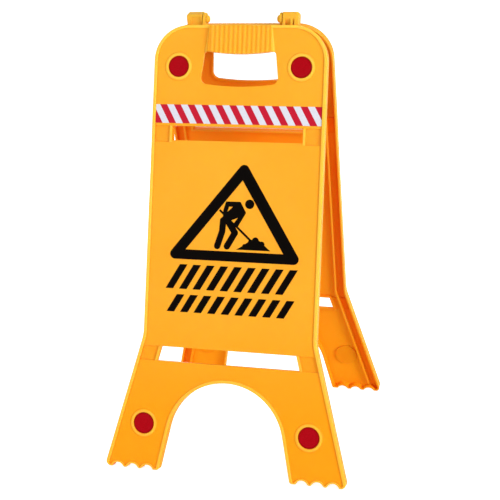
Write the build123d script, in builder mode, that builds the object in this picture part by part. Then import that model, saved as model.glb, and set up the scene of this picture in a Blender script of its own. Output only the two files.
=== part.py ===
from build123d import *
import os
from math import atan2, cos, degrees, radians, sin, tan

os.makedirs("parts", exist_ok=True)

# An A-frame caution sign: two alike moulded leaves, hinged at the top, one turned half a turn about Z.
# Millimetres and degrees. +X runs along the hinge, +Z is up, and the front leaf faces -Y.
# Each leaf has a frame of its own on the hinge axis: x across, y up the leaf, z out of its face.
# A "drop" is a distance below the hinge axis and a "rise" one above the soles, both along the leaf.
# A "margin" is measured in from the leaf's outer edge.

# Stance
spread = 28.8
foot_drop = 610.0
sole_flat = 0.6
fold_gap = 0.25

# Leaf outline
half_width = 118.8
top_clearance = 1.5
corner_radius = 47.3
bend_rise = 181.3
bend_radius = 60.0
leg_flare = 14.8
leg_lean = 11.6
leg_width = 76.4
arch_rise = 123.5
toe_outer_radius = 6.5
toe_inner_radius = 4.0

# Scalloped sole of each leg
scallop_count = 3
scallop_pitch = 20.8
scallop_radius = 8.5
scallop_depth = 5.7
scallop_shift = -1.25
scallop_tip_radius = 2.8

# Leaf section
leaf_depth = 13.0
rim_width = 4.3
rim_rise = 1.7
rim_edge_radius = 1.1
edge_wall = 2.4
plate_thickness = 2.8

# Slots across the leaf, the raised bars at their ends, and the sunk pockets beside the bars
upper_slot_drop = 145.8
upper_slot_height = 19.5
upper_slot_set_back = 1.05
upper_pocket_height = 22.2
lower_slot_rise = 166.8
lower_slot_height = 19.8
lower_slot_set_back = 5.45
slot_margin = 28.8
end_bar_width = 3.4
end_bar_rise = 0.8
slot_wall = 2.5
pocket_sink = 1.5

# Stiffening rib behind each rail
rib_margin = 13.8
rib_thickness = 2.5
rib_top_drop = 100.0
rib_end_gap = 12.0
rib_set_back = 2.0

# Hand hole
hole_drop = 44.6
hole_height = 43.4
hole_margin = 64.8
hole_taper = 5.0
hole_bow = 4.2
hole_top_radius = 4.5
hole_bottom_radius = 9.0
hole_wall = 3.0
hole_wall_depth = 4.6

# Ribbed grip over the hand hole
grip_top_gap = 1.2
grip_overhang = 1.4
grip_base_taper = 6.4
grip_face_taper = 1.8
grip_side_run = 6.6
grip_rise = 4.2
grip_rib_count = 13
grip_rib_inset = 5.7
grip_rib_radius = 4.5
grip_rib_rise = 0.7

# Reflectors in their collars
upper_reflector_margin = 34.4
upper_reflector_drop = 65.8
lower_reflector_margin = 36.8
lower_reflector_rise = 61.7
lens_radius = 14.0
lens_thickness = 2.4
lens_edge_radius = 0.7
backing_thickness = 1.0
backing_inset = 0.4
lens_clearance = 0.3
lens_stand = 0.9
collar_width = 5.5
collar_rise = 1.5
collar_mid_rise = 1.08
collar_chamfer = 0.9
boss_wall = 2.3
boss_floor = 2.6

# Hinge: each leaf has a block that holds a pin, and a lug that turns on the other leaf's pin
hinge_radius = 8.5
hinge_corner_radius = 3.5
lug_offset = 2.3
lug_thickness = 3.2
hinge_side_gap = 1.2
block_length = 21.3
block_end_radius = 2.0
block_foot_gap = 2.2
block_undercut_drop = 1.0
block_undercut_depth = 6.0
block_end_wall = 6.3
block_top_wall = 2.6
block_near_wall = 1.6
block_back_sink = 1.2
block_back_height = 10.4
web_thickness = 3.2
web_pitch = 10.6
last_web_length = 5.4
neck_back = 0.6
stop_gap = 0.05
stop_near = 0.5
stop_far = 4.5
pin_radius = 3.0
pin_clearance = 0.08
pin_reach = 17.5
pin_tip_gap = 0.4
pin_head_overhang = 2.3
pin_head_height = 4.2
pin_head_round = 3.6
pin_head_gap = 0.3

# Films on the face: striped tape, warning triangle with a digging figure, and two rows of slanted bars
film_thickness = 0.25
tape_drop = 117.2
tape_height = 25.1
tape_side_gap = 0.3
triangle_base_drop = 324.6
triangle_height = 134.0
triangle_half_base = 94.9
triangle_side_band = 14.9
triangle_base_band = 13.2
triangle_radius = 7.0
print_lean = 5.0
print_shift = 1.6
trunk_radius = 1.2
limb_width = 8.6
spade_width = 2.8
head_radius = 6.2
bar_count = 9
bar_pitch = 18.9
bar_width = 10.5
bar_slant = 30.0
first_bar_drop = 331.5
first_bar_height = 33.0
second_bar_drop = 372.0
second_bar_height = 23.5

# Values that follow
lean = radians(spread / 2)
opening = radians(spread)
flare = radians(leg_flare)
inner_lean = radians(leg_lean)
axis_height = foot_drop * cos(lean) - fold_gap * sin(lean) - sole_flat
top_drop = hinge_radius + top_clearance
bend_drop = foot_drop - bend_rise
arch_crown_drop = foot_drop - arch_rise
inner_toe_x = half_width + bend_rise * tan(flare) - leg_width
arch_radius = (inner_toe_x - arch_rise * tan(inner_lean)) / (1 / cos(inner_lean) - tan(inner_lean))
face = leaf_depth - rim_rise
plate_back = face - plate_thickness
pocket_floor = face - pocket_sink
pocket_margin = slot_margin - end_bar_width
hole_bottom_half = half_width - hole_margin
hole_top_half = hole_bottom_half - hole_taper
grip_top_drop = top_drop + grip_top_gap
grip_low_drop = hole_drop + hole_bow
grip_base_half = hole_top_half + grip_overhang
grip_face_half = grip_base_half - grip_side_run
grip_rib_pitch = 2 * (grip_face_half - grip_rib_inset) / (grip_rib_count - 1)
seat_radius = lens_radius + lens_clearance
seat_floor = face + lens_stand - lens_thickness - backing_thickness
lug_inner_x = hole_top_half + lug_offset
block_start_x = lug_inner_x + lug_thickness + hinge_side_gap
block_end_x = block_start_x + block_length
merge = 0.5
standing = (Align.CENTER, Align.CENTER, Align.MIN)


def leaf_frame(turn):
    """A leaf's own frame. turn is 1 for the front leaf and -1 for the rear one."""
    return Plane(
        origin=(0, 0, axis_height),
        x_dir=(turn, 0, 0),
        z_dir=(0, -turn * cos(lean), sin(lean)),
    )


def across_hinge(frame, x):
    """A plane square to the hinge at x. Its x is the leaf's z, and it extrudes towards smaller x."""
    return Plane(frame.from_local_coords((x, 0, 0)), x_dir=frame.z_dir, z_dir=-frame.x_dir)


def bend_at(inset):
    """The drop where the outer edge, drawn in by inset, turns out into the leg."""
    return bend_drop + inset * tan(flare / 2)


def edge_x(drop, inset):
    """Half the leaf's width at a drop, drawn in by inset."""
    return half_width - inset + max(0, drop - bend_at(inset)) * tan(flare)


def arch_spring(inset):
    """The point where the arch, drawn into the leaf by inset, runs on as the leg's straight inner edge."""
    radius = arch_radius + inset
    return Vector(radius * cos(inner_lean), radius * sin(inner_lean) - arch_crown_drop - arch_radius)


def inner_x(drop, inset):
    """How far the leg's straight inner edge is from the middle at a drop."""
    spring = arch_spring(inset)
    return spring.X + (drop + spring.Y) * tan(inner_lean)


def leaf_outline(inset, sole_inset, tip_radius):
    """The leaf's outline, drawn in by inset and at the soles by sole_inset, with the scallops' tips rounded."""
    foot = foot_drop - sole_inset
    radius = arch_radius + inset
    arch_centre = -arch_crown_drop - arch_radius
    half_turn = (radians(90) - inner_lean) / 2
    crown = (0, arch_centre + radius)
    haunch = (radius * sin(half_turn), arch_centre + radius * cos(half_turn))
    top = (0, -top_drop - inset)
    shoulder = (half_width - inset, -top_drop - inset)
    knee = (half_width - inset, -bend_at(inset))
    outer_toe = (edge_x(foot, inset), -foot)
    inner_toe = (inner_x(foot, inset), -foot)
    spring = arch_spring(inset)
    leg_middle = inner_toe_x + leg_width / 2 + scallop_shift
    scallop_y = -foot_drop - scallop_radius + scallop_depth
    with BuildSketch() as outline:
        with BuildLine():
            Polyline(top, shoulder, knee, outer_toe, inner_toe, spring)
            ThreePointArc(spring, haunch, crown)
            Line(crown, top)
        make_face()
        rounds = (
            (shoulder, corner_radius - inset),
            (knee, bend_radius),
            (outer_toe, max(toe_outer_radius - inset, merge)),
            (inner_toe, max(toe_inner_radius - inset, merge)),
        )
        for corner, round_radius in rounds:
            fillet(outline.vertices().sort_by_distance(corner)[0], radius=round_radius)
        with Locations((leg_middle, scallop_y)):
            with GridLocations(scallop_pitch, 0, scallop_count, 1):
                Circle(scallop_radius + sole_inset, mode=Mode.SUBTRACT)
        if tip_radius:
            reach = scallop_pitch * scallop_count / 2 - toe_inner_radius
            tips = outline.vertices().filter_by_position(Axis.Y, -foot - merge, -foot + merge)
            tips = tips.filter_by_position(Axis.X, leg_middle - reach, leg_middle + reach)
            fillet(tips, radius=tip_radius)
        mirror(about=Plane.YZ)
    return outline.sketch


def slot_outline(drop, height, margin, grow):
    """A slot, made higher above and below by grow. Its ends run beside the leaf's outer edge, a margin away."""
    high = drop - grow
    low = drop + height + grow
    high_x = edge_x(high, margin)
    low_x = edge_x(low, margin)
    with BuildSketch() as slot:
        with BuildLine():
            Polyline((-high_x, -high), (high_x, -high), (low_x, -low), (-low_x, -low), close=True)
        make_face()
    return slot.sketch


def rail_patch(drop, height, near, far):
    """A patch of both rails, from one margin out to a smaller one."""
    low = drop + height
    with BuildSketch() as patch:
        with BuildLine():
            Polyline(
                (edge_x(drop, near), -drop),
                (edge_x(drop, far), -drop),
                (edge_x(low, far), -low),
                (edge_x(low, near), -low),
                close=True,
            )
        make_face()
        mirror(about=Plane.YZ)
    return patch.sketch


def rib_outline():
    """The rib behind each rail, which follows the leaf's outer edge into the leg."""
    end = foot_drop - rib_end_gap
    near = rib_margin + rib_thickness
    with BuildSketch() as rib:
        with BuildLine():
            Polyline(
                (half_width - rib_margin, -rib_top_drop),
                (half_width - rib_margin, -bend_at(rib_margin)),
                (edge_x(end, rib_margin), -end),
                (edge_x(end, near), -end),
                (half_width - near, -bend_at(near)),
                (half_width - near, -rib_top_drop),
                close=True,
            )
        make_face()
        mirror(about=Plane.YZ)
    return rib.sketch


def hole_outline(grow):
    """The hand hole, with its bowed top and bottom, widened all round by grow."""
    top_corner = (hole_top_half, -hole_drop)
    top_corner_left = (-hole_top_half, -hole_drop)
    bottom = -hole_drop - hole_height
    bottom_corner = (hole_bottom_half, bottom)
    bottom_corner_left = (-hole_bottom_half, bottom)
    with BuildSketch() as hole:
        with BuildLine():
            ThreePointArc(top_corner_left, (0, -hole_drop - hole_bow), top_corner)
            Line(top_corner, bottom_corner)
            ThreePointArc(bottom_corner, (0, bottom - hole_bow), bottom_corner_left)
            Line(bottom_corner_left, top_corner_left)
        make_face()
        fillet(hole.vertices().group_by(Axis.Y)[-1], radius=hole_top_radius)
        fillet(hole.vertices().group_by(Axis.Y)[0], radius=hole_bottom_radius)
        if grow:
            offset(amount=grow)
    return hole.sketch


def grip_outline(bottom_half, taper):
    """The grip's footprint, from its top edge to below the hole's bowed upper edge."""
    top_half = bottom_half - taper
    low = -grip_low_drop - merge
    with BuildSketch() as grip:
        with BuildLine():
            Polyline(
                (-top_half, -grip_top_drop),
                (top_half, -grip_top_drop),
                (bottom_half, low),
                (-bottom_half, low),
                close=True,
            )
        make_face()
    return grip.sketch


def heel(reach_out):
    """A point of the hinge block's heel, reach_out along the other leaf's top edge when the sign is open."""
    reach = top_drop - stop_gap
    return (
        -reach * sin(opening) - reach_out * cos(opening),
        -reach * cos(opening) + reach_out * sin(opening),
    )


def block_section():
    """The hinge block's section: cut under in front, and its heel meets the other leaf's top edge."""
    with BuildSketch() as section:
        with BuildLine():
            Polyline(
                (hinge_radius - block_undercut_depth, block_foot_gap - top_drop),
                (hinge_radius, -block_undercut_drop),
                (hinge_radius, hinge_radius),
                (-hinge_radius, hinge_radius),
                heel(stop_far),
                heel(stop_near),
                close=True,
            )
        make_face()
        fillet(section.vertices().group_by(Axis.Y)[-1], radius=hinge_corner_radius)
    return section.sketch


def collar_section():
    """Half the section of a reflector's collar: x is the radius, y the height above the face."""
    outer = seat_radius + collar_width
    crest = seat_radius + collar_chamfer
    with BuildSketch() as collar:
        with BuildLine():
            Polyline(
                (outer, 0),
                (outer, -merge),
                (seat_radius, -merge),
                (seat_radius, collar_rise - collar_chamfer),
                (crest, collar_rise),
            )
            ThreePointArc((crest, collar_rise), ((crest + outer) / 2, collar_mid_rise), (outer, 0))
        make_face()
    return collar.sketch


def leaned(x, y):
    """A point of the print, which leans a little to the right; y is 0 at the triangle's base."""
    return (x + print_shift + y * tan(radians(print_lean)), y)


def triangle_outline(side_inset, base_inset, radius):
    """The warning triangle, drawn in on its two sides and at its base."""
    slope = triangle_half_base / triangle_height
    side_drop = side_inset * (1 + slope * slope) ** 0.5 / slope
    apex = triangle_height - side_drop
    half_base = (apex - base_inset) * slope
    with BuildSketch() as triangle:
        with BuildLine():
            base_left = leaned(-half_base, base_inset)
            base_right = leaned(half_base, base_inset)
            Polyline(base_left, base_right, leaned(0, apex), close=True)
        make_face()
        if radius:
            fillet(triangle.vertices(), radius=radius)
    return triangle.sketch


def trunk_outline():
    """The figure's bent back and arms, in one shape."""
    back = ((-24.0, 56.1), (-20.8, 59.6), (-21.5, 67.5), (-19.2, 79.5))
    front = ((0.8, 79.7), (10.1, 65.3), (0.7, 45.5), (-6.7, 44.8), (-15.6, 49.8), (-23.0, 51.6))
    with BuildSketch() as trunk:
        with BuildLine():
            Polyline([leaned(x, y) for x, y in back + front], close=True)
        make_face()
        fillet(trunk.vertices(), radius=trunk_radius)
    return trunk.sketch


def heap_outline():
    """The heap the figure digs at, with four round lumps."""
    ridge = ((2.7, 16.2), (10.2, 21.0), (20.7, 29.3), (27.1, 32.6), (33.6, 28.4), (39.7, 23.7), (49.2, 16.3))
    with BuildSketch() as heap:
        with BuildLine():
            Polyline([leaned(x, y) for x, y in ridge], close=True)
        make_face()
        for x, y, radius in ((27.5, 29.1, 4.5), (36.4, 24.4, 4.1), (13.6, 21.2, 3.0), (21.1, 26.1, 3.6)):
            with Locations(leaned(x, y)):
                Circle(radius)
    return heap.sketch


def figure_outline():
    """The digging figure, its spade and the heap; legs and spade are strokes."""
    arm_gap = ((-14.1, 72.8), (-8.8, 72.7), (-15.7, 65.8))
    lap_gap = ((-8.9, 54.7), (-0.2, 58.4), (-4.8, 51.0))
    rear_knee = (-19.5, 39.6)
    front_knee = (-1.8, 38.3)
    strokes = (
        ((-20.1, 54.2), rear_knee, limb_width),
        (rear_knee, (-23.9, 19.8), limb_width),
        ((-12.5, 52.5), front_knee, limb_width),
        (front_knee, (-10.5, 20.0), limb_width),
        ((-25.7, 67.2), (20.7, 29.0), spade_width),
    )
    with BuildSketch() as figure:
        add(trunk_outline())
        with Locations(leaned(13.6, 77.0)):
            Circle(head_radius)
        for start, end, width in strokes:
            start = Vector(*leaned(*start))
            run = Vector(*leaned(*end)) - start
            middle = start + run / 2
            turn = degrees(atan2(run.Y, run.X))
            with Locations(Location((middle.X, middle.Y, 0), (0, 0, turn))):
                SlotCenterToCenter(run.length, width)
        # Gaps inside the bent arm and between the arms and the lap
        for corners in (arm_gap, lap_gap):
            Polygon([leaned(x, y) for x, y in corners], align=None, mode=Mode.SUBTRACT)
        add(heap_outline())
    return figure.sketch


def bars_outline(drop, height):
    """A row of bars that lean to the right."""
    slide = height * tan(radians(bar_slant)) / 2
    with BuildSketch() as bars:
        with Locations((0, -drop - height / 2)):
            with GridLocations(bar_pitch, 0, bar_count, 1):
                Polygon(
                    (slide - bar_width / 2, height / 2),
                    (slide + bar_width / 2, height / 2),
                    (bar_width / 2 - slide, -height / 2),
                    (-bar_width / 2 - slide, -height / 2),
                    align=None,
                )
    return bars.sketch


def rim_top(leaf, frame):
    """The flat top of the rim, the face that is furthest out of the leaf."""
    return leaf.faces().sort_by(Axis(frame.origin, frame.z_dir))[-1]


def rim_inner_edges(leaf, frame):
    """The inner edges of the rim's top, apart from those along the soles, which stay square."""
    sole_top = toe_outer_radius + scallop_depth + edge_wall - foot_drop
    edges = rim_top(leaf, frame).inner_wires()[0].edges()
    return edges.filter_by(lambda edge: frame.to_local_coords(edge.center()).Y > sole_top)


lower_slot_drop = foot_drop - lower_slot_rise
slots = ((upper_slot_drop, upper_slot_height), (lower_slot_drop, lower_slot_height))
slot_set_backs = (upper_slot_set_back, lower_slot_set_back)
sunk_spots = ((upper_slot_drop, upper_pocket_height), (lower_slot_drop, lower_slot_height))
upper_reflector_x = half_width - upper_reflector_margin
lower_reflector_drop = foot_drop - lower_reflector_rise
lower_reflector_x = edge_x(lower_reflector_drop, 0) - lower_reflector_margin
reflector_spots = {
    "upper_left": (-upper_reflector_x, -upper_reflector_drop),
    "upper_right": (upper_reflector_x, -upper_reflector_drop),
    "lower_left": (-lower_reflector_x, -lower_reflector_drop),
    "lower_right": (lower_reflector_x, -lower_reflector_drop),
}

outline = leaf_outline(0, 0, scallop_tip_radius)
rim_inside = leaf_outline(rim_width, edge_wall, 0)
wall_inside = leaf_outline(edge_wall, edge_wall, 0)
plate_outline = leaf_outline(rim_width / 2, edge_wall / 2, 0)
slot_cuts = [slot_outline(drop, height, slot_margin, 0) for drop, height in slots]
slot_walls = [slot_outline(drop, height, pocket_margin, slot_wall) for drop, height in slots]
end_bars = [rail_patch(drop, height, slot_margin, pocket_margin) for drop, height in sunk_spots]
pockets = [rail_patch(drop, height, pocket_margin, rim_width) for drop, height in sunk_spots]
pocket_backs = [
    rail_patch(drop - merge, height + 2 * merge, pocket_margin + merge, edge_wall - merge)
    for drop, height in sunk_spots
]
rail_ribs = rib_outline()
hole_cut = hole_outline(0)
hole_ring = hole_outline(hole_wall)
grip_base = grip_outline(grip_base_half, grip_base_taper)
grip_face = grip_outline(grip_face_half, grip_face_taper)
block_profile = block_section()
collar_profile = collar_section()
triangle = triangle_outline(0, 0, triangle_radius)
triangle_window = triangle_outline(triangle_side_band, triangle_base_band, 0)
figure = figure_outline()
bar_rows = [
    bars_outline(first_bar_drop, first_bar_height),
    bars_outline(second_bar_drop, second_bar_height),
]
frames = {"front": leaf_frame(1), "rear": leaf_frame(-1)}
pin_sides = {"front": "right", "rear": "left"}

# The hinge block in a leaf's own frame: its outer end is rounded, down to the undercut, and its back has a pocket
with BuildPart() as block:
    with BuildSketch(across_hinge(Plane.XY, block_end_x)):
        add(block_profile)
    extrude(amount=block_length)
    end_edges = block.faces().sort_by(Axis.X)[-1].edges()
    fillet(end_edges.filter_by(lambda edge: edge.center().Y > -block_undercut_drop), radius=block_end_radius)
    with BuildSketch(across_hinge(Plane.XY, block_end_x - block_end_wall)):
        with Locations((block_back_sink - hinge_radius, hinge_radius - block_top_wall)):
            Rectangle(2 * hinge_radius, block_back_height, align=(Align.MAX, Align.MAX))
    extrude(amount=block_length - block_end_wall - block_near_wall, mode=Mode.SUBTRACT)

for side, frame in frames.items():
    with BuildPart(frame) as leaf:
        # Wall round the whole edge, wider in front, where it stands proud of the face as a rounded rim
        with BuildSketch(frame.offset(fold_gap)):
            add(outline)
            add(rim_inside, mode=Mode.SUBTRACT)
        extrude(amount=leaf_depth - fold_gap)
        fillet(rim_top(leaf, frame).outer_wire().edges(), radius=rim_edge_radius)
        fillet(rim_inner_edges(leaf, frame), radius=rim_edge_radius)
        with BuildSketch(frame.offset(fold_gap)):
            add(wall_inside)
        extrude(amount=plate_back - fold_gap, mode=Mode.SUBTRACT)

        # Face plate, the walls round the slots, and the wall round the hand hole
        with BuildSketch(frame.offset(plate_back)):
            add(plate_outline)
        extrude(amount=plate_thickness)
        for walls, set_back in zip(slot_walls, slot_set_backs):
            with BuildSketch(frame.offset(fold_gap + set_back)):
                add(walls)
            extrude(amount=face - fold_gap - set_back)
        with BuildSketch(frame.offset(face - hole_wall_depth)):
            add(hole_ring)
        extrude(amount=hole_wall_depth)

        # Sunk pockets beside the slot ends keep the plate's thickness, and raised bars close the slots
        with BuildSketch(frame.offset(pocket_floor - plate_thickness)):
            add(pocket_backs)
        extrude(amount=plate_thickness)
        with BuildSketch(frame.offset(face)):
            add(pockets)
        extrude(amount=-pocket_sink, mode=Mode.SUBTRACT)
        with BuildSketch(frame.offset(plate_back)):
            add(end_bars)
        extrude(amount=plate_thickness + end_bar_rise)

        # Ribs behind the rails
        with BuildSketch(frame.offset(fold_gap + rib_set_back)):
            add(rail_ribs)
        extrude(amount=pocket_floor - fold_gap - rib_set_back - merge)

        # Reflector seats: a boss behind the plate, a soft collar on the face, and the round pocket
        for x, y in reflector_spots.values():
            with Locations((x, y, seat_floor - boss_floor)):
                Cylinder(seat_radius + boss_wall, face - merge - seat_floor + boss_floor, align=standing)
            with Locations((x, y, seat_floor)):
                Cylinder(seat_radius, face - seat_floor, align=standing, mode=Mode.SUBTRACT)
            seat = Plane(frame.from_local_coords((x, y, face)), x_dir=frame.x_dir, z_dir=-frame.y_dir)
            with BuildSketch(seat):
                add(collar_profile)
            revolve(axis=Axis(seat.origin, frame.z_dir))

        # Ribbed grip
        with BuildSketch(frame.offset(face - merge)):
            add(grip_base)
        with BuildSketch(frame.offset(face + grip_rise)):
            add(grip_face)
        loft()
        grip_length = grip_low_drop + merge - grip_top_drop
        grip_middle = -grip_top_drop - grip_length / 2
        with Locations((0, grip_middle, face + grip_rise + grip_rib_rise - grip_rib_radius)):
            with GridLocations(grip_rib_pitch, 0, grip_rib_count, 1):
                Cylinder(grip_rib_radius, grip_length, rotation=(90, 0, 0))

        # Openings through the leaf
        with BuildSketch(frame):
            add(slot_cuts)
            add(hole_cut)
        extrude(amount=2 * leaf_depth, mode=Mode.SUBTRACT)

        # The hinge block on its webs, with a blind bore for its pin
        add(block.part)
        webs = (
            (0, web_thickness),
            (web_pitch, web_thickness),
            (block_length - last_web_length, last_web_length),
        )
        for start, length in webs:
            with Locations((block_start_x + start, -block_undercut_drop, neck_back)):
                Box(
                    length,
                    top_drop + merge - block_undercut_drop,
                    hinge_radius - neck_back,
                    align=(Align.MIN, Align.MAX, Align.MIN),
                )
        with BuildSketch(across_hinge(frame, block_start_x + pin_reach + pin_tip_gap)):
            Circle(pin_radius + pin_clearance)
        extrude(amount=pin_reach + pin_tip_gap, mode=Mode.SUBTRACT)

        # Lug on the other side
        with BuildSketch(across_hinge(frame, -lug_inner_x)):
            Circle(hinge_radius)
            with Locations((neck_back, 0)):
                Rectangle(hinge_radius - neck_back, top_drop + merge, align=(Align.MIN, Align.MAX))
            Circle(pin_radius + pin_clearance, mode=Mode.SUBTRACT)
        extrude(amount=lug_thickness)

        # The heels of the soles are flat on the ground
        split(bisect_by=Plane.XY, keep=Keep.TOP)
    leaf.part.label = f"{side}_leaf"
    export_step(leaf.part, f"parts/{leaf.part.label}.step")

    with BuildPart() as pin:
        head_seat = lug_inner_x - pin_head_gap
        with BuildSketch(across_hinge(frame, block_start_x + pin_reach)):
            Circle(pin_radius)
        extrude(amount=block_start_x + pin_reach - head_seat)
        with BuildSketch(across_hinge(frame, head_seat)):
            Circle(pin_radius + pin_head_overhang)
        extrude(amount=pin_head_height)
        crown = pin.edges().filter_by(GeomType.CIRCLE).sort_by(Axis(frame.origin, frame.x_dir))[0]
        fillet(crown, radius=pin_head_round)
    pin.part.label = f"hinge_pin_{pin_sides[side]}"
    export_step(pin.part, f"parts/{pin.part.label}.step")

    for place, (x, y) in reflector_spots.items():
        with BuildPart() as backing:
            with BuildSketch(Plane(frame.from_local_coords((x, y, seat_floor)), frame.x_dir, frame.z_dir)):
                Circle(lens_radius - backing_inset)
            extrude(amount=backing_thickness)
        backing.part.label = f"reflector_backing_{side}_{place}"
        export_step(backing.part, f"parts/{backing.part.label}.step")

        lens_floor = seat_floor + backing_thickness
        with BuildPart() as lens:
            with BuildSketch(Plane(frame.from_local_coords((x, y, lens_floor)), frame.x_dir, frame.z_dir)):
                Circle(lens_radius)
            extrude(amount=lens_thickness)
            fillet(lens.edges().sort_by(Axis(frame.origin, frame.z_dir))[-1], radius=lens_edge_radius)
        lens.part.label = f"reflector_lens_{side}_{place}"
        export_step(lens.part, f"parts/{lens.part.label}.step")

    with BuildPart() as tape:
        tape_length = 2 * (half_width - rim_width - tape_side_gap)
        with BuildSketch(frame.offset(face)):
            with Locations((0, -tape_drop)):
                Rectangle(tape_length, tape_height, align=(Align.CENTER, Align.MAX))
        extrude(amount=film_thickness)
    tape.part.label = f"striped_tape_{side}"
    export_step(tape.part, f"parts/{tape.part.label}.step")

    with BuildPart() as pictogram:
        base_line = frame.from_local_coords((0, -triangle_base_drop, face))
        with BuildSketch(Plane(base_line, frame.x_dir, frame.z_dir)):
            add(triangle)
            add(triangle_window, mode=Mode.SUBTRACT)
            add(figure)
        extrude(amount=film_thickness)
        with BuildSketch(frame.offset(face)):
            add(bar_rows)
        extrude(amount=film_thickness)
    pictogram.part.label = f"warning_pictogram_{side}"
    export_step(pictogram.part, f"parts/{pictogram.part.label}.step")
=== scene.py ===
"""A-frame caution sign: two hinged yellow leaves with reflectors, striped tape and a black print."""
from math import cos, radians, sin, tan

import bmesh
import bpy
from mathutils import Euler, Matrix, Vector

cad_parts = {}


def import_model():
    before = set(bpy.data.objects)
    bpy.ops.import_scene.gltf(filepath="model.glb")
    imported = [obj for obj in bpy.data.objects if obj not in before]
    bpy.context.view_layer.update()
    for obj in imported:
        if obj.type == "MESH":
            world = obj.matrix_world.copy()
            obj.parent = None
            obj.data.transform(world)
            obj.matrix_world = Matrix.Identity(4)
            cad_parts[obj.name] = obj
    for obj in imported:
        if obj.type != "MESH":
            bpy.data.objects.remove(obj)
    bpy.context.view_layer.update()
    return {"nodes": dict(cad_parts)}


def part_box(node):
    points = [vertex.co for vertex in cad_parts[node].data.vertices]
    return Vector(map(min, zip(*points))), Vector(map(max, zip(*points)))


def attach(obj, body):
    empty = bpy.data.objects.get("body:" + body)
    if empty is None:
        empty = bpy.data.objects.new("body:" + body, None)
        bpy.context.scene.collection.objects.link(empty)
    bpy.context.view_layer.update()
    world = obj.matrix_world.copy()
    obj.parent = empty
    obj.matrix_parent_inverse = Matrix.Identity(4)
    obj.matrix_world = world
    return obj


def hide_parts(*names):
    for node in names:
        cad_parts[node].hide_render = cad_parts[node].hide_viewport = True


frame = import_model()


def box_middle(node):
    """The middle of a CAD node's box, in metres."""
    box_low, box_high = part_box(node)
    return (Vector(box_low) + Vector(box_high)) / 2


# Sizes are written in millimetres and used in metres
MM = 0.001

# Where each leaf hangs: the hinge axis runs along X through the pins, and both leaves lean out from it
HINGE_HEIGHT = box_middle("hinge_pin_right").z
LEAF_LEAN = radians(14.4)
SIDES = {"front": 1, "rear": -1}
HALF_TURNS = {"front": 0.0, "rear": radians(180)}

# The leaf's outline: half its width, where its edge bends out into the legs, and how far the legs flare
HALF_WIDTH = 118.8
BEND_DROP = 428.7
LEG_FLARE = radians(14.8)

# Reflector lenses, each on a backing disc
LENS_ENDINGS = ("upper_left", "upper_right", "lower_left", "lower_right")
LENS_RADIUS = 14.0
LENS_HEIGHT = 2.4
LENS_STEPS = 64
MERGE_WITHIN = 0.001
BACKING_THICKNESS = 1.0

# A lens's outline in shares of its radius and height: flat floor, upright edge, rounded rim, shallow dish
LENS_OUTLINE = (
    (0.0, 0.0),
    (1.0, 0.0),
    (1.0, 0.70),
    (0.985, 0.86),
    (0.955, 0.97),
    (0.925, 1.0),
    (0.900, 0.985),
    (0.885, 0.93),
    (0.0, 0.93),
)

# Prisms on the dish of a lens, and a hexagon's half width across its flats for each length to a corner
PRISM_PITCH = 1.5
PRISM_HEIGHT = 0.16
PRISM_FLOOR = 2.2
PRISM_FIELD_RADIUS = 12.2
PRISM_SIDES = 6
PRISM_SEED = 7
HEXAGON_FLAT = cos(radians(30))

# Stripes of the tape: their run for each length of rise, and a red one's middle beside the tape's middle
STRIPE_PITCH = 19.37
STRIPE_RED_WIDTH = 9.8
STRIPE_RUN = 0.555
STRIPE_MIDDLE = 0.20

# A spot's measures on its leaf: down it, out of its back plane, in from its edge, and how far it looks out
LEAF_MEASURES = ("Drop", "Out", "Margin", "Outward")

# Heights out of the leaf's back plane: two where a tone changes, four where it comes and goes
CREST_OUT = (11.9, 12.6)
GRIP_SIDE_OUT = (13.2, 14.2)
RIB_FOOT_OUT = 15.2
RIB_GAP_OUT = (15.5, 16.1)
PROUD_OUT = (11.3, 11.8)
FOOT_OUT = (11.32, 11.36, 11.5, 11.9)
FACE_OUT = (11.35, 11.6)
BACK_OUT = (5.3, 5.9, 8.0, 9.6)
BOSS_OUT = (6.5, 7.5)
POCKET_OUT = (9.0, 9.4, 10.2, 10.8)
INNER_WALL_OUT = (2.5, 3.5, 10.4, 11.2)

# Margins in from the outer edge: wall, rim, the crease by the rim, the channel, and the slots' end bars
WALL_MARGIN = (0.4, 0.8)
RIM_MARGIN = (4.1, 4.7)
CREASE_MARGIN = (4.0, 4.2, 4.8, 6.4)
CHANNEL_MARGIN = (13.0, 14.5)
BAR_MARGIN = (24.9, 29.4)

# Drops down the leaf from the hinge
PAST_HINGE = (8.0, 9.5)
INSIDE_DEEPENS = (15.0, 150.0)
BELOW_HOLE = (110.0, 130.0)
PAST_SLOTS = (465.0, 480.0)
TO_LEGS = (360.0, 530.0)

# How much of a surface's normal lies along the outward axis, from looking aside to looking out or back
ASIDE_TO_OUT = (0.3, 0.6)

# How pale painted highlights are on the grip's sides, the legs beside other crests and edges, and scuffs
GRIP_SIDE_PALE = 0.30
LEG_PALE = 0.8
EDGE_HIGHLIGHT = 0.20
SCUFF_PALE = 0.25

# Moulded skin: the parts of a noise's range that are used, the fine grain's share, and the edges' samples
PATCH_RANGE = (0.35, 0.65)
NOISE_RANGE = (0.3, 0.7)
GRAIN_SHARE = 0.25
EDGE_SAMPLES = 6

# Scuffs: how far they are drawn out, the scale of rubbed areas, and the noise that counts as a mark
SCUFF_STRETCH = (1.0, 1.0, 7.0)
SCUFF_AREA_SCALE = 9.0
SCUFF_LINES = (0.60, 0.72)
SCUFF_AREAS = (0.50, 0.66)

# Cells of the tape's film
CELL_SCALE = 700.0
CELL_WALL = 0.12
GLITTER_SCALE = 520.0

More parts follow.
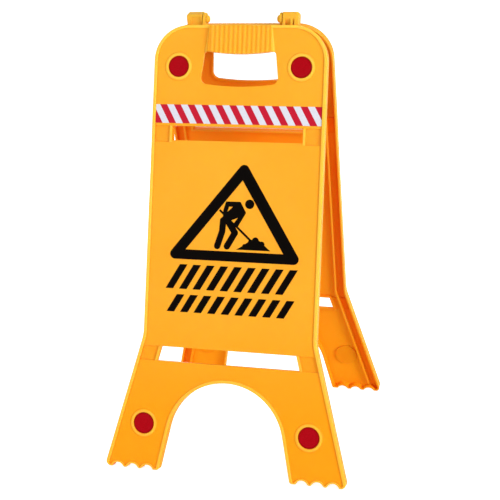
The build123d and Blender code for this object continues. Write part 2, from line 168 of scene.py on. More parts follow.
# Roughness, from the smoothest spot to the roughest, and what a scuff adds to it
PLASTIC_ROUGHNESS = (0.36, 0.46)
SCUFF_ROUGHNESS = 0.12
TAPE_ROUGHNESS = (0.28, 0.42)
PRINT_ROUGHNESS = (0.42, 0.55)
LENS_ROUGHNESS = (0.16, 0.30)
SILVER_ROUGHNESS = (0.22, 0.36)

# Colours, as linear light
YELLOW = (0.985, 0.415, 0.029, 1)
YELLOW_DEEP = (0.970, 0.390, 0.023, 1)
HINGE_YELLOW = (0.860, 0.450, 0.040, 1)
# Painted shade: a deeper yellow down the legs and between the grip's ribs
YELLOW_LEG_SHADE = (0.970, 0.345, 0.008, 1)
# Painted shade: deeper oranges inside the leaf, inside its legs, in the channel beside the rim and on
# bosses
ORANGE_INSIDE_SHADE = (0.985, 0.305, 0.005, 1)
ORANGE_LEG_INSIDE_SHADE = (0.985, 0.375, 0.008, 1)
ORANGE_CHANNEL_SHADE = (0.920, 0.205, 0.002, 1)
# Painted highlights on crests, rims, walls, bars and edges, and the colour of real scuffs
YELLOW_HIGHLIGHT_AND_SCUFF = (1.000, 0.640, 0.080, 1)
# Painted shade in creases
CREASE_SHADE_BROWN = (0.620, 0.200, 0.008, 1)
LENS_RED = (0.38, 0.001, 0.006, 1)
# Painted shade on the lens outside its prisms, at its rounded rim
LENS_RED_SHADE = (0.32, 0.001, 0.003, 1)
LENS_RED_LIGHT = (0.46, 0.002, 0.010, 1)
SILVER = (0.75, 0.75, 0.78, 1)
SILVER_DULL = (0.58, 0.58, 0.61, 1)
TAPE_RED = (0.53, 0.007, 0.028, 1)
TAPE_RED_DARK = (0.49, 0.0065, 0.025, 1)
TAPE_WHITE = (0.655, 0.655, 0.73, 1)
TAPE_WHITE_BRIGHT = (0.69, 0.69, 0.765, 1)
PRINT_BLACK = (0.0020, 0.0012, 0.0008, 1)
PRINT_BLACK_WORN = (0.008, 0.006, 0.004, 1)
FLOOR_GREY = (0.80, 0.80, 0.80, 1)
WHITE = (1, 1, 1, 1)

# Studio, in metres and watts: the floor, the even light all round, and soft boxes turned to a point
FLOOR_HALF_WIDTH = 40.0
FLOOR_GLOW = 0.76
EVEN_LIGHT = 0.56
LAMPS = {
    "key_lamp": {"place": (4.0, -2.2, 1.7), "aim": (0, -0.08, 0.35), "width": 1.8, "power": 155.0},
    "fill_lamp": {"place": (-1.0, -2.4, 0.9), "aim": (0, -0.08, 0.35), "width": 1.2, "power": 14.0},
    "back_lamp": {"place": (-0.5, 2.2, 0.8), "aim": (0, 0.08, 0.35), "width": 0.9, "power": 22.0},
}

# The photograph's camera: its place from the hinge's middle, its angles, and its picture in pixels
CAMERA_PLACE = (370.943, -1368.941, 100.627)
CAMERA_YAW = radians(13.923)
CAMERA_PITCH = radians(-13.660)
CAMERA_ROLL = radians(-1.149)
SENSOR_WIDTH = 36.0
PHOTO_PIXELS = 500
FOCAL_PIXELS = 1046.59
AIM_PIXEL = (269.372, 195.004)


def leaf_turn(side):
    """The rotation from a leaf's own axes, with Z out of its face, to the sign's."""
    return Euler((radians(90) - LEAF_LEAN, 0, HALF_TURNS[side])).to_matrix().to_4x4()


def add_node(tree, kind, inputs=None, **settings):
    """A new node with its settings and its inputs, each a value or another node's socket."""
    node = tree.nodes.new(kind)
    for name, value in settings.items():
        setattr(node, name, value)
    for name, value in (inputs or {}).items():
        if isinstance(value, bpy.types.NodeSocket):
            tree.links.new(value, node.inputs[name])
        else:
            node.inputs[name].default_value = value
    return node


def set_inputs(node, values):
    """Sets a node's named inputs; an input's spaces are underscores here."""
    for name, value in values.items():
        node.inputs[name.replace("_", " ")].default_value = value


def connect(tree, node, **sockets):
    """Links sockets to a node's named inputs; an input's spaces are underscores here."""
    for name, socket in sockets.items():
        tree.links.new(socket, node.inputs[name.replace("_", " ")])


def maths(tree, operation, *values):
    """A Math node's result."""
    return add_node(tree, "ShaderNodeMath", dict(enumerate(values)), operation=operation).outputs[0]


def mix_colour(tree, factor, first, second):
    """Two colours mixed by a factor."""
    inputs = {0: factor, 6: first, 7: second}
    return add_node(tree, "ShaderNodeMix", inputs, data_type="RGBA").outputs[2]


def noise(tree, place, scale, detail, roughness=0.5):
    """A noise texture's value."""
    inputs = {"Vector": place, "Scale": scale, "Detail": detail, "Roughness": roughness}
    return add_node(tree, "ShaderNodeTexNoise", inputs).outputs[0]


def spread(tree, value, low, high, to_low, to_high):
    """A value moved from one range to another and kept inside it."""
    inputs = {0: value, 1: low, 2: high, 3: to_low, 4: to_high}
    return add_node(tree, "ShaderNodeMapRange", inputs).outputs[0]


def past(tree, value, limits):
    """A mask that goes from 0 to 1 between two sizes in millimetres."""
    return spread(tree, value, limits[0] * MM, limits[1] * MM, 0.0, 1.0)


def before(tree, value, limits):
    """A mask that goes from 1 to 0 between two sizes in millimetres."""
    return spread(tree, value, limits[0] * MM, limits[1] * MM, 1.0, 0.0)


def between(tree, value, limits):
    """A mask that rises between two sizes in millimetres and falls between two more."""
    return maths(tree, "MULTIPLY", past(tree, value, limits[:2]), before(tree, value, limits[2:]))


def product(tree, *values):
    """Values multiplied together."""
    result = values[0]
    for value in values[1:]:
        result = maths(tree, "MULTIPLY", result, value)
    return result


def largest(tree, *values):
    """The largest of some values."""
    result = values[0]
    for value in values[1:]:
        result = maths(tree, "MAXIMUM", result, value)
    return result


def bumped(tree, height, strength, depth, normal=None):
    """A normal with bumps of a depth in millimetres, laid on another normal where one is given."""
    inputs = {"Height": height, "Strength": strength, "Distance": depth * MM}
    if normal is not None:
        inputs["Normal"] = normal
    return add_node(tree, "ShaderNodeBump", inputs).outputs[0]


def new_group(name, inputs, outputs):
    """A shader group with named numbers in and named sockets out; gives its tree and two end nodes."""
    tree = bpy.data.node_groups.new(name, "ShaderNodeTree")
    for label, value in inputs.items():
        socket = tree.interface.new_socket(label, in_out="INPUT", socket_type="NodeSocketFloat")
        socket.default_value = value
    for label, kind in outputs.items():
        tree.interface.new_socket(label, in_out="OUTPUT", socket_type=kind)
    return tree, tree.nodes.new("NodeGroupInput"), tree.nodes.new("NodeGroupOutput")


def place_group(tree, group, **values):
    """A group placed in a material with its own values."""
    node = add_node(tree, "ShaderNodeGroup", node_tree=group)
    set_inputs(node, values)
    return node


def new_material(name, **shader_values):
    """A node material; gives it, its tree and its Principled shader with the constant values set."""
    material = bpy.data.materials.new(name)
    material.use_nodes = True
    tree = material.node_tree
    shader = tree.nodes["Principled BSDF"]
    set_inputs(shader, shader_values)
    return material, tree, shader


def moulded_skin_group():
    """Fine grain, soft waves and slow patches of a moulded surface."""
    tree, start, end = new_group(
        "moulded_skin",
        {"Grain Scale": 2400.0, "Wave Scale": 160.0, "Patch Scale": 7.0},
        dict.fromkeys(("Height", "Grain", "Patch"), "NodeSocketFloat"),
    )
    place = add_node(tree, "ShaderNodeTexCoord").outputs["Object"]
    grain = noise(tree, place, start.outputs["Grain Scale"], detail=2.0)
    wave = noise(tree, place, start.outputs["Wave Scale"], detail=1.0, roughness=0.4)
    patch = noise(tree, place, start.outputs["Patch Scale"], detail=2.0)
    height = maths(tree, "ADD", wave, product(tree, grain, GRAIN_SHARE))
    connect(tree, end, Height=height, Grain=grain, Patch=patch)
    return tree


def soft_edge_group():
    """Rounded-looking edges: a softened normal, and a mask of the edges themselves."""
    tree, start, end = new_group(
        "soft_edges",
        {"Radius": 0.6 * MM, "Reach": 0.12},
        {"Normal": "NodeSocketVector", "Edge": "NodeSocketFloat"},
    )
    bevel = add_node(tree, "ShaderNodeBevel", {"Radius": start.outputs["Radius"]}, samples=EDGE_SAMPLES)
    soft = bevel.outputs[0]
    flat = add_node(tree, "ShaderNodeNewGeometry").outputs["Normal"]
    both = add_node(tree, "ShaderNodeVectorMath", {0: soft, 1: flat}, operation="DOT_PRODUCT")
    apart = maths(tree, "SUBTRACT", 1.0, both.outputs["Value"])
    connect(tree, end, Normal=soft, Edge=spread(tree, apart, 0.0, start.outputs["Reach"], 0.0, 1.0))
    return tree


def leaf_place_group():
    """Where a spot is on its leaf and which way it looks, in the leaf's own measures."""
    tree, start, end = new_group(
        "leaf_place", {"Turn": 1.0}, dict.fromkeys(LEAF_MEASURES, "NodeSocketFloat"),
    )
    coordinates = add_node(tree, "ShaderNodeTexCoord")
    place = add_node(tree, "ShaderNodeSeparateXYZ", {0: coordinates.outputs["Object"]})
    way = add_node(tree, "ShaderNodeSeparateXYZ", {0: coordinates.outputs["Normal"]})

    def along(ahead, ahead_share, up, up_share):
        """A length built from the way ahead, turned with the leaf, and the way up."""
        turned = product(tree, ahead, start.outputs["Turn"], ahead_share)
        return maths(tree, "ADD", turned, product(tree, up, up_share))

    climb = maths(tree, "SUBTRACT", place.outputs["Z"], HINGE_HEIGHT)
    drop = along(place.outputs["Y"], -sin(LEAF_LEAN), climb, -cos(LEAF_LEAN))
    out = along(place.outputs["Y"], -cos(LEAF_LEAN), climb, sin(LEAF_LEAN))
    outward = along(way.outputs["Y"], -cos(LEAF_LEAN), way.outputs["Z"], sin(LEAF_LEAN))
    below_bend = maths(tree, "MAXIMUM", maths(tree, "SUBTRACT", drop, BEND_DROP * MM), 0.0)
    edge = maths(tree, "ADD", product(tree, below_bend, tan(LEG_FLARE)), HALF_WIDTH * MM)
    margin = maths(tree, "SUBTRACT", edge, maths(tree, "ABSOLUTE", place.outputs["X"]))
    connect(tree, end, Drop=drop, Out=out, Margin=margin, Outward=outward)
    return tree


def leaf_measures(tree, start):
    """The leaf's measures inside another group, which is told the leaf's turn."""
    place = add_node(tree, "ShaderNodeGroup", node_tree=leaf_place)
    connect(tree, place, Turn=start.outputs["Turn"])
    return [place.outputs[label] for label in LEAF_MEASURES]


def painted_highlights_group():
    """Painted highlights on the moulding: its crests, its rim, its outer wall, and the bars at the slots'
    ends.
    """
    tree, start, end = new_group(
        "painted_highlights",
        {"Turn": 1.0, "Crest": 0.65, "Rim": 0.6, "Wall": 0.12, "Bar": 0.5},
        {"Mask": "NodeSocketFloat"},
    )
    drop, out, margin = leaf_measures(tree, start)[:3]
    grip_side = spread(tree, out, GRIP_SIDE_OUT[0] * MM, GRIP_SIDE_OUT[1] * MM, 1.0, GRIP_SIDE_PALE)
    proud = past(tree, out, PROUD_OUT)
    past_bar = maths(tree, "GREATER_THAN", margin, BAR_MARGIN[0] * MM)
    before_slot = maths(tree, "LESS_THAN", margin, BAR_MARGIN[1] * MM)
    at_slots = between(tree, drop, BELOW_HOLE + PAST_SLOTS)
    mask = largest(
        tree,
        product(tree, past(tree, out, CREST_OUT), grip_side, start.outputs["Crest"]),
        product(tree, proud, before(tree, margin, RIM_MARGIN), start.outputs["Rim"]),
        product(tree, before(tree, margin, WALL_MARGIN), start.outputs["Wall"]),
        product(tree, past_bar, before_slot, at_slots, proud, start.outputs["Bar"]),
    )
    connect(tree, end, Mask=mask)
    return tree


def painted_shade_and_hinge_group():
    """The hinge's own tone, and painted shade down the legs, between the ribs, inside and in creases."""
    tree, start, end = new_group(
        "painted_shade_and_hinge",
        {
            "Turn": 1.0, "Boss": 0.45, "Pocket": 0.16,
            "Rim Crease": 0.40, "Foot Crease": 0.50, "Rib Crease": 0.25,
        },
        dict.fromkeys(("Hinge", "Lower", "Inside", "Channel", "Crease"), "NodeSocketFloat"),
    )
    drop, out, margin, outward = leaf_measures(tree, start)
    aside, full = ASIDE_TO_OUT
    looks_out = spread(tree, outward, aside, full, 0.0, 1.0)
    looks_back = spread(tree, outward, -full, -aside, 1.0, 0.0)
    looks_aside = spread(tree, maths(tree, "ABSOLUTE", outward), aside, full, 1.0, 0.0)

    # Painted shade inside: the back of the plate, its bosses, the walls, and the channel beside the rim
    channel = before(tree, margin, CHANNEL_MARGIN)
    back = product(tree, looks_back, between(tree, out, BACK_OUT))
    boss = product(tree, looks_back, before(tree, out, BOSS_OUT), start.outputs["Boss"])
    above_legs = largest(tree, before(tree, drop, PAST_SLOTS), channel)
    walls = product(
        tree, looks_aside, past(tree, margin, WALL_MARGIN), above_legs, between(tree, out, INNER_WALL_OUT),
    )
    inside = product(tree, largest(tree, back, walls), past(tree, drop, INSIDE_DEEPENS))

    # Painted shade in creases: beside the rim, at the feet, in the pockets, and between the grip's ribs
    on_ribs = maths(tree, "GREATER_THAN", out, RIB_FOOT_OUT * MM)
    rib_gaps = product(tree, on_ribs, before(tree, out, RIB_GAP_OUT))
    crease = largest(
        tree,
        product(
            tree, between(tree, margin, CREASE_MARGIN), before(tree, out, FACE_OUT), looks_out,
            start.outputs["Rim Crease"],
        ),
        product(
            tree, between(tree, out, FOOT_OUT), past(tree, margin, CREASE_MARGIN[2:]),
            start.outputs["Foot Crease"],
        ),
        product(tree, between(tree, out, POCKET_OUT), looks_out, start.outputs["Pocket"]),
        product(tree, rib_gaps, start.outputs["Rib Crease"]),
    )
    connect(
        tree, end,
        Hinge=before(tree, drop, PAST_HINGE),
        Lower=largest(tree, past(tree, drop, TO_LEGS), rib_gaps),
        Inside=inside,
        Channel=largest(tree, channel, boss),
        Crease=crease,
    )
    return tree


def light_scuff_group():
    """Faint rubbed marks from stacking and carrying."""
    tree, start, end = new_group(
        "light_scuffs", {"Scale": 26.0, "Amount": 0.4}, {"Mask": "NodeSocketFloat"},
    )
    place = add_node(tree, "ShaderNodeTexCoord").outputs["Object"]
    drawn_out = add_node(tree, "ShaderNodeMapping", {"Vector": place, "Scale": SCUFF_STRETCH}).outputs[0]
    streaks = noise(tree, drawn_out, start.outputs["Scale"], detail=6.0, roughness=0.7)
    areas = noise(tree, place, SCUFF_AREA_SCALE, detail=2.0)
    mask = product(
        tree,
        spread(tree, streaks, *SCUFF_LINES, 0.0, 1.0),
        spread(tree, areas, *SCUFF_AREAS, 0.0, 1.0),
        start.outputs["Amount"],
    )
    connect(tree, end, Mask=mask)
    return tree


moulded_skin = moulded_skin_group()
soft_edges = soft_edge_group()
leaf_place = leaf_place_group()
painted_highlights = painted_highlights_group()
painted_shade_and_hinge = painted_shade_and_hinge_group()
light_scuffs = light_scuff_group()


def moulded_plastic(name, side, body_tone, patch_tone, edge_radius, wave_depth):
    """Satin moulded plastic, letting some light through: slow patches, painted highlights and shade, faint
    scuffs.
    """
    material, tree, shader = new_material(
        name, IOR=1.5, Specular_IOR_Level=0.03,
        Subsurface_Weight=0.32, Subsurface_Radius=(1.0, 0.18, 0.01), Subsurface_Scale=8.0 * MM,
    )
    skin = place_group(tree, moulded_skin)
    edges = place_group(tree, soft_edges, Radius=edge_radius * MM)
    scuffs = place_group(tree, light_scuffs).outputs["Mask"]
    pale = place_group(tree, painted_highlights, Turn=SIDES[side]).outputs["Mask"]
    places = place_group(tree, painted_shade_and_hinge, Turn=SIDES[side]).outputs

    # Tones, each laid over the ones before it; the leg, inside, channel and crease tones are painted shade
    patch = spread(tree, skin.outputs["Patch"], *PATCH_RANGE, 0.0, 1.0)
    face_tone = mix_colour(tree, patch, body_tone, patch_tone)
    outer_tone = mix_colour(tree, places["Lower"], face_tone, YELLOW_LEG_SHADE)
    plate_tone = mix_colour(tree, places["Lower"], ORANGE_INSIDE_SHADE, ORANGE_LEG_INSIDE_SHADE)
    inner_tone = mix_colour(tree, places["Channel"], plate_tone, ORANGE_CHANNEL_SHADE)
    leaf_tone = mix_colour(tree, places["Inside"], outer_tone, inner_tone)
    creased_tone = mix_colour(tree, places["Crease"], leaf_tone, CREASE_SHADE_BROWN)
    tone = mix_colour(tree, places["Hinge"], creased_tone, HINGE_YELLOW)
    # Painted highlights on edges, crests, rims, walls and bars, weaker down the legs, and real scuffs
    paleness = largest(
        tree,
        product(tree, edges.outputs["Edge"], EDGE_HIGHLIGHT),
        product(tree, scuffs, SCUFF_PALE),
        product(tree, pale, spread(tree, places["Lower"], 0.0, 1.0, 1.0, LEG_PALE)),
    )
    grainy = spread(tree, skin.outputs["Grain"], *NOISE_RANGE, *PLASTIC_ROUGHNESS)
    connect(
        tree, shader,
        Base_Color=mix_colour(tree, paleness, tone, YELLOW_HIGHLIGHT_AND_SCUFF),
        Roughness=maths(tree, "ADD", grainy, product(tree, scuffs, SCUFF_ROUGHNESS)),
        Normal=bumped(
            tree, skin.outputs["Height"], strength=0.35, depth=wave_depth, normal=edges.outputs["Normal"],
        ),
    )
    return material


def striped_film(side):
    """Reflective film with slanted red and white stripes and a fine honeycomb of cells."""
    material, tree, shader = new_material(
        f"striped_film_{side}", IOR=1.5, Specular_IOR_Level=0.05, Coat_Weight=0.01, Coat_Roughness=0.12,
    )
    place = add_node(tree, "ShaderNodeTexCoord").outputs["Object"]

    # Stripes, counted from the tape's middle along a line that leans as they do
    middle = box_middle(f"striped_tape_{side}")
    centred = add_node(tree, "ShaderNodeMapping", {"Vector": place, "Location": -middle}).outputs[0]
    turn = (0, 0, HALF_TURNS[side])
    turned = add_node(tree, "ShaderNodeMapping", {"Vector": centred, "Rotation": turn}).outputs[0]
    parts = add_node(tree, "ShaderNodeSeparateXYZ", {0: turned})
    lean = product(tree, parts.outputs["Z"], STRIPE_RUN / cos(LEAF_LEAN))
    across = maths(tree, "ADD", parts.outputs["X"], lean)
    red_start = (STRIPE_MIDDLE - STRIPE_RED_WIDTH / 2) * MM
    pairs = maths(tree, "DIVIDE", maths(tree, "SUBTRACT", across, red_start), STRIPE_PITCH * MM)
    red = maths(tree, "LESS_THAN", maths(tree, "FRACT", pairs), STRIPE_RED_WIDTH / STRIPE_PITCH)

    # Cells with low walls, each a little lighter or darker than the next
    cells = add_node(
        tree, "ShaderNodeTexVoronoi", {"Vector": place, "Scale": CELL_SCALE}, feature="DISTANCE_TO_EDGE",
    )
    walls = spread(tree, cells.outputs[0], 0.0, CELL_WALL, 1.0, 0.0)
    glitter = add_node(tree, "ShaderNodeTexVoronoi", {"Vector": place, "Scale": GLITTER_SCALE})
    sparkle = add_node(tree, "ShaderNodeSeparateColor", {0: glitter.outputs["Color"]}).outputs[0]
    white_tone = mix_colour(tree, sparkle, TAPE_WHITE, TAPE_WHITE_BRIGHT)
    red_tone = mix_colour(tree, sparkle, TAPE_RED_DARK, TAPE_RED)
    connect(
        tree, shader,
        Base_Color=mix_colour(tree, red, white_tone, red_tone),
        Roughness=spread(tree, sparkle, 0.0, 1.0, *TAPE_ROUGHNESS),
        Normal=bumped(tree, walls, strength=0.12, depth=0.05),
    )
    return material


def black_print():
    """Matt black printed film, a little thin in places."""
    material, tree, shader = new_material("black_print_film", IOR=1.45, Specular_IOR_Level=0.02)
    skin = place_group(tree, moulded_skin, Grain_Scale=3000.0, Wave_Scale=400.0, Patch_Scale=30.0)
    scuffs = place_group(tree, light_scuffs, Scale=40.0, Amount=0.5)
    connect(
        tree, shader,
        Base_Color=mix_colour(tree, scuffs.outputs["Mask"], PRINT_BLACK, PRINT_BLACK_WORN),
        Roughness=spread(tree, skin.outputs["Patch"], *NOISE_RANGE, *PRINT_ROUGHNESS),
        Normal=bumped(tree, skin.outputs["Height"], strength=0.2, depth=0.02),
    )
    return material


def red_lens():
    """Clear red acrylic: a field of prisms in shifting reds inside a rim painted darker as shade."""
    material, tree, shader = new_material(
        "red_reflector_lens", IOR=1.49, Specular_IOR_Level=0.02, Coat_Weight=0.01, Coat_Roughness=0.06,
    )
    tone = add_node(tree, "ShaderNodeAttribute", attribute_name="prism_tone").outputs["Fac"]
    field = add_node(tree, "ShaderNodeAttribute", attribute_name="prism_field").outputs["Fac"]
    prisms = mix_colour(tree, tone, LENS_RED, LENS_RED_LIGHT)
    skin = place_group(tree, moulded_skin, Grain_Scale=1500.0, Wave_Scale=300.0, Patch_Scale=60.0)
    connect(
        tree, shader,
        Base_Color=mix_colour(tree, field, LENS_RED_SHADE, prisms),
        Roughness=spread(tree, skin.outputs["Patch"], *NOISE_RANGE, *LENS_ROUGHNESS),
        Normal=bumped(tree, skin.outputs["Height"], strength=0.1, depth=0.02),
    )
    return material


def silver_backing():
    """Silvered disc behind a lens."""
    material, tree, shader = new_material("silvered_backing", Metallic=0.9, IOR=1.5)
    skin = place_group(tree, moulded_skin, Grain_Scale=1800.0, Wave_Scale=250.0, Patch_Scale=40.0)
    connect(
        tree, shader,
        Base_Color=mix_colour(tree, skin.outputs["Patch"], SILVER, SILVER_DULL),
        Roughness=spread(tree, skin.outputs["Grain"], *NOISE_RANGE, *SILVER_ROUGHNESS),
        Normal=bumped(tree, skin.outputs["Height"], strength=0.2, depth=0.03),
    )
    return material


leaf_plastics = {
    side: moulded_plastic(
        f"yellow_leaf_plastic_{side}", side, YELLOW, YELLOW_DEEP, edge_radius=1.0, wave_depth=0.12,
    )
    for side in SIDES
}
pin_plastic = moulded_plastic(
    "yellow_pin_plastic", "front", HINGE_YELLOW, HINGE_YELLOW, edge_radius=0.4, wave_depth=0.06,
)
lens_acrylic = red_lens()
lens_backing = silver_backing()
print_film = black_print()
tape_films = {side: striped_film(side) for side in SIDES}


def dress(node, material):
    """Gives a carried-over CAD node its material."""
    piece = frame["nodes"][node]
    piece.data.materials.clear()
    piece.data.materials.append(material)


def turned_lens():
    """A lens turned from its outline."""
    lens = bmesh.new()
    points = [
        lens.verts.new((across * LENS_RADIUS * MM, 0, up * LENS_HEIGHT * MM))
        for across, up in LENS_OUTLINE
    ]
    edges = [lens.edges.new(pair) for pair in zip(points, points[1:])]
    bmesh.ops.spin(
        lens, geom=points + edges, cent=(0, 0, 0), axis=(0, 0, 1),
        angle=radians(360), steps=LENS_STEPS, use_merge=True,
    )
    bmesh.ops.remove_doubles(lens, verts=lens.verts, dist=MERGE_WITHIN * MM)
    bmesh.ops.recalc_face_normals(lens, faces=lens.faces)
    mesh = bpy.data.meshes.new("turned_lens")
    lens.to_mesh(mesh)
    lens.free()
    return mesh


def prism_field_tree():
    """Geometry nodes: six-sided prisms set close together over the dish of a lens."""
    tree = bpy.data.node_groups.new("prism_field", "GeometryNodeTree")
    sockets = tree.interface
    sockets.new_socket("Geometry", in_out="INPUT", socket_type="NodeSocketGeometry")
    sizes = {
        "Pitch": PRISM_PITCH, "Field Radius": PRISM_FIELD_RADIUS,
        "Prism Height": PRISM_HEIGHT, "Floor": PRISM_FLOOR,
    }
    for label, size in sizes.items():
        socket = sockets.new_socket(label, in_out="INPUT", socket_type="NodeSocketFloat")
        socket.default_value = size * MM
    sockets.new_socket("Material", in_out="INPUT", socket_type="NodeSocketMaterial")
    sockets.new_socket("Geometry", in_out="OUTPUT", socket_type="NodeSocketGeometry")
    start = tree.nodes.new("NodeGroupInput")
    end = tree.nodes.new("NodeGroupOutput")
    pitch = start.outputs["Pitch"]
    reach = start.outputs["Field Radius"]

    def points_across(step):
        """How many points, a step apart, cover the whole field."""
        steps = maths(tree, "FLOOR", maths(tree, "DIVIDE", maths(tree, "MULTIPLY", reach, 2.0), step))
        return maths(tree, "ADD", steps, 2.0)

    def length_across(points, step):
        """The length from the first of some points to the last."""
        return product(tree, maths(tree, "SUBTRACT", points, 1.0), step)

    # Rows of points, every other row moved along by half a step
    row_step = product(tree, pitch, HEXAGON_FLAT)
    columns = points_across(pitch)
    rows = points_across(row_step)
    grid = add_node(tree, "GeometryNodeMeshGrid", {
        "Size X": length_across(columns, pitch), "Size Y": length_across(rows, row_step),
        "Vertices X": columns, "Vertices Y": rows,
    })
    index = add_node(tree, "GeometryNodeInputIndex").outputs[0]
    odd_row = maths(tree, "MODULO", maths(tree, "MODULO", index, rows), 2.0)
    half_step = maths(tree, "DIVIDE", pitch, 2.0)
    shift = add_node(tree, "ShaderNodeCombineXYZ", {
        "X": product(tree, odd_row, half_step), "Z": start.outputs["Floor"],
    })
    moved = add_node(tree, "GeometryNodeSetPosition", {
        "Geometry": grid.outputs[0], "Offset": shift.outputs[0],
    })

    # Only the points inside the dish carry a prism
    position = add_node(tree, "GeometryNodeInputPosition").outputs[0]
    parts = add_node(tree, "ShaderNodeSeparateXYZ", {0: position})
    squares = [maths(tree, "POWER", parts.outputs[axis], 2.0) for axis in ("X", "Y")]
    from_middle = maths(tree, "SQRT", maths(tree, "ADD", *squares))
    outside = add_node(tree, "FunctionNodeCompare", {0: from_middle, 1: reach}, operation="GREATER_THAN")
    kept = add_node(tree, "GeometryNodeDeleteGeometry", {
        "Geometry": moved.outputs[0], "Selection": outside.outputs[0],
    })
    prism = add_node(tree, "GeometryNodeMeshCone", {
        "Vertices": PRISM_SIDES,
        "Radius Top": 0.0,
        "Radius Bottom": maths(tree, "DIVIDE", half_step, HEXAGON_FLAT),
        "Depth": start.outputs["Prism Height"],
    })
    placed = add_node(tree, "GeometryNodeInstanceOnPoints", {
        "Points": kept.outputs[0], "Instance": prism.outputs["Mesh"],
    })

    # Each prism has its own tone, and all are marked as the field
    tone = add_node(tree, "FunctionNodeRandomValue", {"Seed": PRISM_SEED}, data_type="FLOAT")
    marked = placed
    for name, value in (("prism_tone", tone.outputs[1]), ("prism_field", 1.0)):
        marked = add_node(
            tree, "GeometryNodeStoreNamedAttribute",
            {"Geometry": marked.outputs[0], "Name": name, "Value": value},
            data_type="FLOAT", domain="INSTANCE",
        )
    solid = add_node(tree, "GeometryNodeRealizeInstances", {"Geometry": marked.outputs[0]})
    joined = add_node(tree, "GeometryNodeJoinGeometry")
    for part in (solid.outputs[0], start.outputs["Geometry"]):
        tree.links.new(part, joined.inputs[0])
    painted = add_node(tree, "GeometryNodeSetMaterial", {
        "Geometry": joined.outputs[0], "Material": start.outputs["Material"],
    })
    connect(tree, end, Geometry=painted.outputs[0])
    return tree


def made_by_nodes(mesh, tree, values):
    """The plain mesh that a geometry node tree makes of a mesh, with the tree's named inputs set."""
    maker = bpy.data.objects.new("maker", mesh)
    bpy.context.scene.collection.objects.link(maker)
    modifier = maker.modifiers.new("maker", "NODES")
    modifier.node_group = tree
    for item in tree.interface.items_tree:
        if item.in_out == "INPUT" and item.name in values:
            modifier[item.identifier] = values[item.name]
    depsgraph = bpy.context.evaluated_depsgraph_get()
    made = bpy.data.meshes.new_from_object(maker.evaluated_get(depsgraph))
    bpy.data.objects.remove(maker)
    return made


lens_mesh = made_by_nodes(turned_lens(), prism_field_tree(), {"Material": lens_acrylic})


def leaf_reflectors(side):
    """All four lenses of a leaf as one piece, each on top of its backing disc."""
    lenses = bmesh.new()
    turn = leaf_turn(side)
    to_top = turn @ Vector((0, 0, BACKING_THICKNESS * MM / 2))
    for ending in LENS_ENDINGS:
        seat = box_middle(f"reflector_backing_{side}_{ending}") + to_top
        one = lens_mesh.copy()
        one.transform(Matrix.Translation(seat) @ turn)
        lenses.from_mesh(one)
        bpy.data.meshes.remove(one)
    mesh = bpy.data.meshes.new(f"{side}_reflector_lenses")
    lenses.to_mesh(mesh)
    lenses.free()
    mesh.materials.append(lens_acrylic)
    piece = bpy.data.objects.new(f"{side}_reflector_lenses", mesh)
    bpy.context.scene.collection.objects.link(piece)
    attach(piece, side)
    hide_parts(*[f"reflector_lens_{side}_{ending}" for ending in LENS_ENDINGS])


for side in SIDES:
    dress(f"{side}_leaf", leaf_plastics[side])
    dress(f"striped_tape_{side}", tape_films[side])
    dress(f"warning_pictogram_{side}", print_film)
    for ending in LENS_ENDINGS:
        dress(f"reflector_backing_{side}_{ending}", lens_backing)
    leaf_reflectors(side)
for hand in ("left", "right"):
    dress(f"hinge_pin_{hand}", pin_plastic)


def seen_directly(tree):
    """One where a surface is seen, by the camera, mirrored or through glass, and zero for its light."""
    path = add_node(tree, "ShaderNodeLightPath").outputs
    return largest(tree, path["Is Camera Ray"], path["Is Glossy Ray"], path["Is Transmission Ray"])


def pale_floor():
    """A wide pale floor that keeps the sign's shadow and looks white to the camera."""
    half = FLOOR_HALF_WIDTH
    corners = [(-half, -half, 0), (half, -half, 0), (half, half, 0), (-half, half, 0)]
    mesh = bpy.data.meshes.new("pale_floor")
    mesh.from_pydata(corners, [], [(0, 1, 2, 3)])
    material, tree, shader = new_material(
        "pale_floor", Base_Color=FLOOR_GREY, Roughness=0.9, Emission_Color=WHITE,
    )
    connect(tree, shader, Emission_Strength=product(tree, seen_directly(tree), FLOOR_GLOW))
    mesh.materials.append(material)
    floor = bpy.data.objects.new("pale_floor", mesh)
    bpy.context.scene.collection.objects.link(floor)


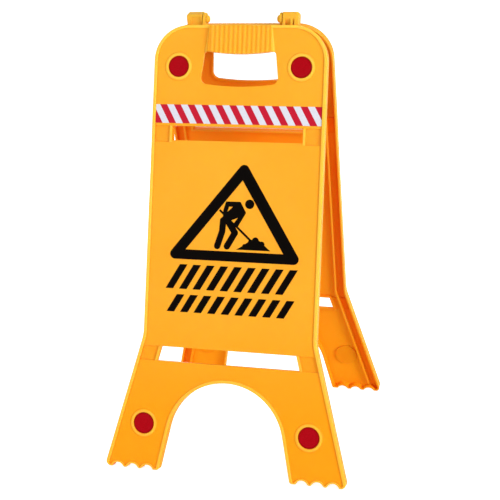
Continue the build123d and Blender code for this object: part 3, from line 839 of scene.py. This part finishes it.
def studio_world():
    """Even light all round, and a white backdrop where it is seen."""
    world = bpy.data.worlds.new("studio")
    bpy.context.scene.world = world
    world.use_nodes = True
    tree = world.node_tree
    background = tree.nodes["Background"]
    background.inputs["Color"].default_value = WHITE
    connect(tree, background, Strength=spread(tree, seen_directly(tree), 0.0, 1.0, EVEN_LIGHT, 1.0))


def soft_lamp(name, place, aim, width, power):
    """A square soft box at a place, turned to a point."""
    lamp = bpy.data.lights.new(name, "AREA")
    lamp.energy = power
    lamp.size = width
    carrier = bpy.data.objects.new(name, lamp)
    carrier.location = place
    carrier.rotation_euler = (Vector(aim) - Vector(place)).to_track_quat("-Z", "Y").to_euler()
    bpy.context.scene.collection.objects.link(carrier)


def photo_camera():
    """The camera at the photograph's place, angle and framing."""
    level_right = Vector((cos(CAMERA_YAW), sin(CAMERA_YAW), 0))
    level_ahead = Vector((-sin(CAMERA_YAW), cos(CAMERA_YAW), 0))
    forward = cos(CAMERA_PITCH) * level_ahead + sin(CAMERA_PITCH) * Vector((0, 0, 1))
    level_up = level_right.cross(forward)
    right = cos(CAMERA_ROLL) * level_right + sin(CAMERA_ROLL) * level_up
    up = -sin(CAMERA_ROLL) * level_right + cos(CAMERA_ROLL) * level_up
    camera = bpy.data.cameras.new("photo_camera")
    camera.sensor_width = SENSOR_WIDTH
    camera.lens = SENSOR_WIDTH * FOCAL_PIXELS / PHOTO_PIXELS
    middle_pixel = (PHOTO_PIXELS - 1) / 2
    camera.shift_x = (middle_pixel - AIM_PIXEL[0]) / PHOTO_PIXELS
    camera.shift_y = (AIM_PIXEL[1] - middle_pixel) / PHOTO_PIXELS
    carrier = bpy.data.objects.new("photo_camera", camera)
    place = Vector(CAMERA_PLACE) * MM + Vector((0, 0, HINGE_HEIGHT))
    turn = Matrix((right, up, -forward)).transposed().to_4x4()
    carrier.matrix_world = Matrix.Translation(place) @ turn
    bpy.context.scene.collection.objects.link(carrier)
    bpy.context.scene.camera = carrier


bpy.context.scene.view_settings.view_transform = "Standard"
pale_floor()
studio_world()
for lamp_name, lamp_values in LAMPS.items():
    soft_lamp(lamp_name, **lamp_values)
photo_camera()
